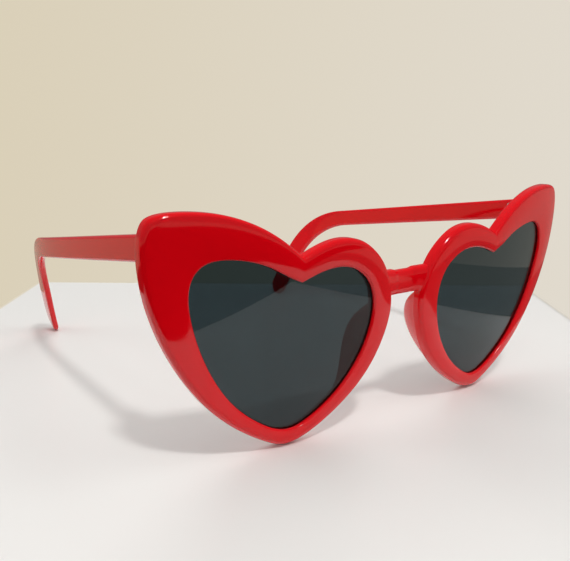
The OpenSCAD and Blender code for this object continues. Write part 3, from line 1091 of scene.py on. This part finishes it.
@dataclass(frozen=True)
class ScrewSet:
    """Slotted screws of one size, set wherever a place and a direction are given.

    The chamfer is a share of the head's height, and the slot's cutter reaches its times
    the head's radius.
    """

    shank_radius: float
    shank_length: float
    head_radius: float
    head_height: float
    slot_width: float = 0.3
    slot_depth: float = 0.2
    chamfer_share: float = 0.35
    slot_reach: float = 2.4
    shank_points: int = 32
    head_points: int = 48
    sharp: float = 30

    def sizes(self) -> dict[str, float]:
        """Return the tree's sizes in metres, by the names of its inputs."""
        names = ("shank_radius", "shank_length", "head_radius", "head_height", "slot_width", "slot_depth")
        return {name.capitalize().replace("_", " "): getattr(self, name) * MM for name in names}

    def tree(self) -> NodeTree:
        """Build the tree that puts a screw at every point of its base mesh.

        Returns:
            The tree.
        """
        wiring, start = shape_tree("slotted_screws", [
            *((name, "NodeSocketFloat", size) for name, size in self.sizes().items()),
            ("Metal", "NodeSocketMaterial", None)])
        given, cylinder = start.outputs, "GeometryNodeMeshCylinder"
        length, radius, height = given["Shank length"], given["Head radius"], given["Head height"]
        chamfer = wiring.sum("MULTIPLY", height, self.chamfer_share)
        straight = wiring.sum("SUBTRACT", height, chamfer)
        shank = wiring.add(cylinder, self.shank_points, Radius=given["Shank radius"], Depth=length)
        disc = wiring.add(cylinder, self.head_points, Radius=radius, Depth=straight)
        crown = wiring.add("GeometryNodeMeshCone", self.head_points, Radius_Bottom=radius, Depth=chamfer,
                           Radius_Top=wiring.sum("SUBTRACT", radius, chamfer))
        bar = wiring.add("GeometryNodeMeshCube", wiring.vector(
            X=given["Slot width"], Y=wiring.sum("MULTIPLY", radius, self.slot_reach),
            Z=wiring.sum("MULTIPLY", given["Slot depth"], 2.0)))
        body = wiring.add("GeometryNodeMeshBoolean", operation="UNION", solver="EXACT")
        for piece, rise in ((shank, wiring.sum("MULTIPLY", length, -0.5)),
                            (disc, wiring.sum("MULTIPLY", straight, 0.5)), (crown, straight)):
            wiring.put(body.node, Mesh_2=wiring.raised(piece, rise))
        slotted = wiring.add("GeometryNodeMeshBoolean", body, wiring.raised(bar, height),
                             operation="DIFFERENCE", solver="EXACT")
        aim = wiring.add("FunctionNodeAlignRotationToVector", axis="Z",
                         Vector=wiring.named("FLOAT_VECTOR", "aim"))
        spread = wiring.add("GeometryNodeInstanceOnPoints", given["Geometry"], Instance=slotted,
                            Rotation=aim)
        return wiring.give(spread, given["Metal"])

    def build(self, name: str, places: Sequence[np.ndarray], aims: Sequence[np.ndarray],
              metal: Material) -> Object:
        """Set screws at places.

        Args:
            name: Name of the finished object.
            places: Seats of the heads, in millimetres.
            aims: Directions in which the heads look out.
            metal: The finish.

        Returns:
            The screws as one object.
        """
        base = plain_mesh("screw_seats", np.array(places))
        carry(base, "aim", np.array(aims))
        made = grown(name, base, self.tree(), {**self.sizes(), "Metal": metal}, self.sharp)
        return made


@dataclass
class Hinges:
    """The two barrel hinges: leaves kept from the solids, and their screws.

    The screws sit at shares of a leaf's length and height.
    """

    temple: Temple = field(default_factory=Temple)
    knuckle_radius: float = 1.5
    height: float = 4.2
    leaf_thick: float = 0.8
    leaf_length: float = 2.6
    screw_shares: tuple[Pair, ...] = ((0.32, 0.24), (0.68, -0.24))
    pivot_radius: float = 0.55
    pivot_head: float = 0.5
    fixing: ScrewSet = ScrewSet(shank_radius=0.5, shank_length=3.0, head_radius=0.8, head_height=0.35)

    def seat(self, side: Side, share: Pair, ahead: int) -> np.ndarray:
        """Find the seat of a fixing screw.

        Args:
            side: Which hinge.
            share: Place on the leaf as shares of its length and height.
            ahead: 1 for the leaf of the temple, -1 for the leaf of the front.

        Returns:
            The seat's place in space.
        """
        hinge = self.temple.hinge
        along = hinge.inner_offset + self.leaf_length * share[0]
        place = hinge.placed(hinge.inner_x - self.leaf_thick, ahead * along, self.height * share[1])
        return place * [side.value, 1, 1]

    def build(self, metal: Material) -> list[Object]:
        """Dress the leaves and build the screws in place of their solids.

        Args:
            metal: The finish of leaves and screws.

        Returns:
            The finished screws, one object for each body and size.
        """
        for side in Side:
            for leaf in ("front_leaf", "temple_leaf"):
                node = frame["nodes"][f"{side.word}_{leaf}"]
                node.data.materials.clear()
                node.data.materials.append(metal)
        hinge = self.temple.hinge
        head_radius = self.knuckle_radius - self.temple.gap
        pivots = ScrewSet(self.pivot_radius, self.height, head_radius, self.pivot_head)
        top = hinge.placed(hinge.x, 0, self.height / 2)
        made = [pivots.build("pivot_screws", [top * [s.value, 1, 1] for s in Side], [hinge.up] * 2, metal)]
        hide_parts("left_pivot_screw", "right_pivot_screw")
        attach(made[0], "front")
        places = [self.seat(s, share, -1) for s in Side for share in self.screw_shares]
        aims = [[-s.value, 0, 0] for s in Side for _ in self.screw_shares]
        made.append(self.fixing.build("front_fixing_screws", places, aims, metal))
        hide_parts(*[f"{s.word}_front_{w}_screw" for s in Side for w in ("near", "far")])
        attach(made[1], "front")
        for side in Side:
            places = [self.seat(side, share, 1) for share in self.screw_shares]
            aims = [[-side.value, 0, 0] for _ in places]
            piece = self.fixing.build(f"{side.word}_temple_screws", places, aims, metal)
            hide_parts(*[f"{side.word}_temple_{w}_screw" for w in ("near", "far")])
            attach(piece, side.arm)
            made.append(piece)
        return made


# The studio


@dataclass(frozen=True)
class Card:
    """A dark sheet hidden from the camera, round the table along the camera's ways: painted reflection and
    painted shade of a dim room.
    """

    name: str
    ahead: Pair
    side: Pair
    tone: Triple


@dataclass(frozen=True)
class Lamp:
    """A soft lamp that looks at the pair, placed by angles from the camera's own way ahead.

    The turn is in degrees from straight ahead towards the right, and the rise in degrees
    above the floor. The distance and the size are in metres. Gloss sees the lamp only
    where glint is set.
    """

    name: str
    turn: float
    rise: float
    distance: float
    size: float
    power: float
    glint: bool = False


@dataclass
class Studio:
    """Plain pale floor, soft light and the camera at the photograph's viewing angle.

    The table lies along the camera's ways, and its edge is the width in metres over which
    its tone fades into the wall's. The wall's gloss is the share of its light that gloss
    shows, and its core the distance in metres within which its tones meet.
    """

    camera_place: Triple = (-128.990, -194.972, 80.924)
    azimuth: float = 35.442
    elevation: float = 13.181
    roll: float = 0.445
    lens: float = 42.947
    film: float = 36
    near: float = 0.005
    table_tone: Triple = (0.77, 0.757, 0.728)
    table_ahead: Pair = (-143.5, 103)
    table_side: Pair = (-116, 128)
    table_edge: float = 0.002
    table_shine: float = 0.12
    table_roughness: float = 0.36
    floor_reach: float = 6000
    wall_left: Triple = (0.70, 0.625, 0.475)
    wall_right: Triple = (0.755, 0.705, 0.62)
    wall_spread: float = 0.42
    wall_gloss: float = 0.64
    wall_core: float = 0.02
    air_tone: Triple = (0.208, 0.208, 0.208)
    # Dark sheets that glow faintly, seen only in the pair's reflections and bounce light: painted
    # reflection and painted shade of a dim room round the table.
    card_lift: float = 0.5
    painted_shade_cards: tuple[Card, ...] = (
        Card("front_painted_shade_card", (-900, -143.5), (-700, 700), (0.006, 0.006, 0.007)),
        Card("left_painted_shade_card", (-143.5, 0), (-200, -116), (0.03, 0.03, 0.03)),
        Card("right_painted_shade_card", (-143.5, 103), (128, 210), (0.16, 0.16, 0.155)),
    )
    aim_height: float = 0.03
    lamps: tuple[Lamp, ...] = (
        Lamp("key", 159, 58, 1.2, 0.11, 5.3, glint=True),
        Lamp("top", 0, 90, 1.6, 1.6, 8.8),
        Lamp("left", -90, 25, 1.2, 0.8, 3.4),
        Lamp("right", 90, 25, 1.2, 0.8, 3.9),
        Lamp("back", 0, 35, 1.2, 0.8, 4.3),
        Lamp("front", 180, 25, 1.2, 0.8, 1.7),
    )

    def ahead(self) -> Vector:
        """Return the direction in which the camera looks."""
        az, el = radians(self.azimuth), radians(self.elevation)
        return Vector((sin(az) * cos(el), cos(az) * cos(el), -sin(el)))

    def level(self) -> tuple[Vector, Vector]:
        """Return the level directions ahead of the camera and to its right."""
        az = radians(self.azimuth)
        return Vector((sin(az), cos(az), 0)), Vector((cos(az), -sin(az), 0))

    def add_camera(self) -> None:
        """Add the camera and make it the scene's."""
        data = bpy.data.cameras.new("photo_camera")
        data.lens, data.sensor_width, data.clip_start = self.lens, self.film, self.near
        made = linked("photo_camera", data)
        ahead, right = self.ahead(), self.level()[1]
        up = right.cross(ahead)
        turn = radians(self.roll)
        right, up = cos(turn) * right + sin(turn) * up, cos(turn) * up - sin(turn) * right
        matrix = Matrix((right, up, -ahead)).transposed().to_4x4()
        matrix.translation = Vector(self.camera_place) * MM
        made.matrix_world = matrix
        bpy.context.scene.camera = made

    def wall(self, wiring: Wiring, place: NodeSocket, start: Vector) -> NodeSocket:
        """Make the wall's tone, which pales a little from left to right.

        Args:
            wiring: The wiring of the material or the world.
            place: The output that gives the place, or the direction in the world.
            start: The place that the tones spread from, in metres.

        Returns:
            The tone's output.
        """
        onward, aside = (wiring.along(place, way, start.dot(way)) for way in self.level())
        square = wiring.sum("ADD", wiring.sum("MULTIPLY", aside, aside),
                            wiring.sum("MULTIPLY", onward, onward))
        far = wiring.sum("ADD", wiring.sum("SQRT", square), self.wall_core)
        share = wiring.add("ShaderNodeMapRange", wiring.sum("DIVIDE", aside, far), -self.wall_spread,
                           self.wall_spread)
        return wiring.blend(share, self.wall_left, self.wall_right)

    def table_mask(self, wiring: Wiring, place: NodeSocket) -> NodeSocket:
        """Tell the table top, at 1, from what lies beyond its edges, at 0.

        Args:
            wiring: The wiring of the floor's material.
            place: The place's output.

        Returns:
            The mask's output.
        """
        masks = []
        for way, reach in zip(self.level(), (self.table_ahead, self.table_side)):
            middle, half = (reach[0] + reach[1]) / 2 * MM, (reach[1] - reach[0]) / 2 * MM
            off = wiring.sum("ABSOLUTE", wiring.along(place, way, middle))
            masks.append(wiring.add("ShaderNodeMapRange", off, half, half + self.table_edge, 1.0, 0.0))
        return wiring.sum("MULTIPLY", *masks)

    def add_floor(self) -> None:
        """Add the floor: a white table top, and the warmer wall's tone beyond its edges."""
        material, wiring, shader = new_material("pale_floor")
        place = wiring.place()
        mask = self.table_mask(wiring, place)
        wall = self.wall(wiring, place, Vector(self.camera_place) * MM)
        wiring.put(shader, Base_Color=wiring.blend(mask, wall, self.table_tone),
                   Specular_IOR_Level=wiring.sum("MULTIPLY", mask, self.table_shine),
                   Roughness=self.table_roughness)
        path = wiring.node("ShaderNodeLightPath").outputs
        camera, glossy, through = (path[f"Is {kind} Ray"]
                                   for kind in ("Camera", "Glossy", "Transmission"))
        mirrored = wiring.sum("GREATER_THAN", glossy, through)
        dimmed = wiring.sum("MULTIPLY", mirrored, 1 - self.wall_gloss)
        glow = wiring.add("ShaderNodeEmission", wall, wiring.sum("SUBTRACT", 1.0, dimmed))
        seen = wiring.sum("MAXIMUM", camera, wiring.sum("MAXIMUM", glossy, through))
        beyond = wiring.sum("MULTIPLY", seen, wiring.sum("SUBTRACT", 1.0, mask))
        wiring.show(wiring.add("ShaderNodeMixShader", beyond, shader.outputs[0], glow))
        corners = np.array([(-1, -1, 0), (1, -1, 0), (1, 1, 0), (-1, 1, 0)]) * self.floor_reach
        made = linked("floor", plain_mesh("floor", corners, [(0, 1, 2, 3)], material=material))

    def add_painted_shade_card(self, card: Card) -> None:
        """Add one painted shade sheet that the pair sees and the camera doesn't, just above the floor.

        Args:
            card: Its name, reach and tone.
        """
        material, wiring, _ = new_material(card.name)
        # The sheet glows in its dark tone, though it is no lamp: painted reflection and painted shade.
        wiring.show(wiring.add("ShaderNodeEmission", card.tone, 1.0))
        ahead, right = self.level()
        corners = [ahead * card.ahead[i] + right * card.side[j]
                   for i, j in ((0, 0), (1, 0), (1, 1), (0, 1))]
        points = np.array(corners) + [0, 0, self.card_lift]
        made = linked(card.name, plain_mesh(card.name, points, [(0, 1, 2, 3)], material=material))
        made.visible_camera = made.visible_transmission = False
        made.visible_shadow = made.visible_volume_scatter = False

    def add_lamp(self, lamp: Lamp) -> None:
        """Add one soft lamp that looks at the middle of the pair.

        Args:
            lamp: Its place, size and light.
        """
        data = bpy.data.lights.new(lamp.name, "AREA")
        data.size, data.energy = lamp.size, lamp.power
        made = linked(lamp.name, data)
        ahead, right = self.level()
        turn, rise = radians(lamp.turn), radians(lamp.rise)
        level = ahead * cos(turn) + right * sin(turn)
        way = level * cos(rise) + Vector((0, 0, sin(rise)))
        made.location = way * lamp.distance + Vector((0, 0, self.aim_height))
        made.rotation_euler = (-way).to_track_quat("-Z", "Y").to_euler()
        made.visible_glossy = lamp.glint

    def add_air(self) -> None:
        """Set the even pale light from all round, with the wall's tone behind the object."""
        world = bpy.data.worlds.new("studio")
        world.use_nodes = True
        bpy.context.scene.world = world
        wiring = Wiring(world.node_tree)
        path = wiring.node("ShaderNodeLightPath").outputs
        seen = wiring.sum("MAXIMUM", path["Is Camera Ray"], path["Is Transmission Ray"])
        way = wiring.node("ShaderNodeTexCoord").outputs["Generated"]
        tone = wiring.blend(seen, self.air_tone, self.wall(wiring, way, Vector((0, 0, 0))))
        wiring.put(world.node_tree.nodes["Background"], Color=tone, Strength=1.0)

    def build(self) -> None:
        """Set up the whole studio."""
        bpy.context.scene.view_settings.view_transform = "Standard"
        self.add_camera()
        self.add_floor()
        # Dark sheets that paint the pair's reflections and shade
        for card in self.painted_shade_cards:
            self.add_painted_shade_card(card)
        self.add_air()
        for lamp in self.lamps:
            self.add_lamp(lamp)


def main() -> None:
    """Build the pair piece by piece, and the studio round it."""
    logging.basicConfig(level=logging.INFO, format="%(message)s")
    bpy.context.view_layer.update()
    plastic, tint, metal = RedPlastic().build(), SmokeTint().build(), PlatedSteel().build()
    Studio().build()
    temple = Temple()
    tree = temple.sweep_tree()
    pieces = [FrontFrame().build(temple, plastic)]
    pieces += [Lens().build(side, tint) for side in Side]
    pieces += [temple.build(side, tree, plastic) for side in Side]
    pieces += Hinges(temple).build(metal)
    for piece in pieces:
        LOG.info("%s: %d faces", piece.name, len(piece.data.polygons))


if __name__ == "__main__":
    main()
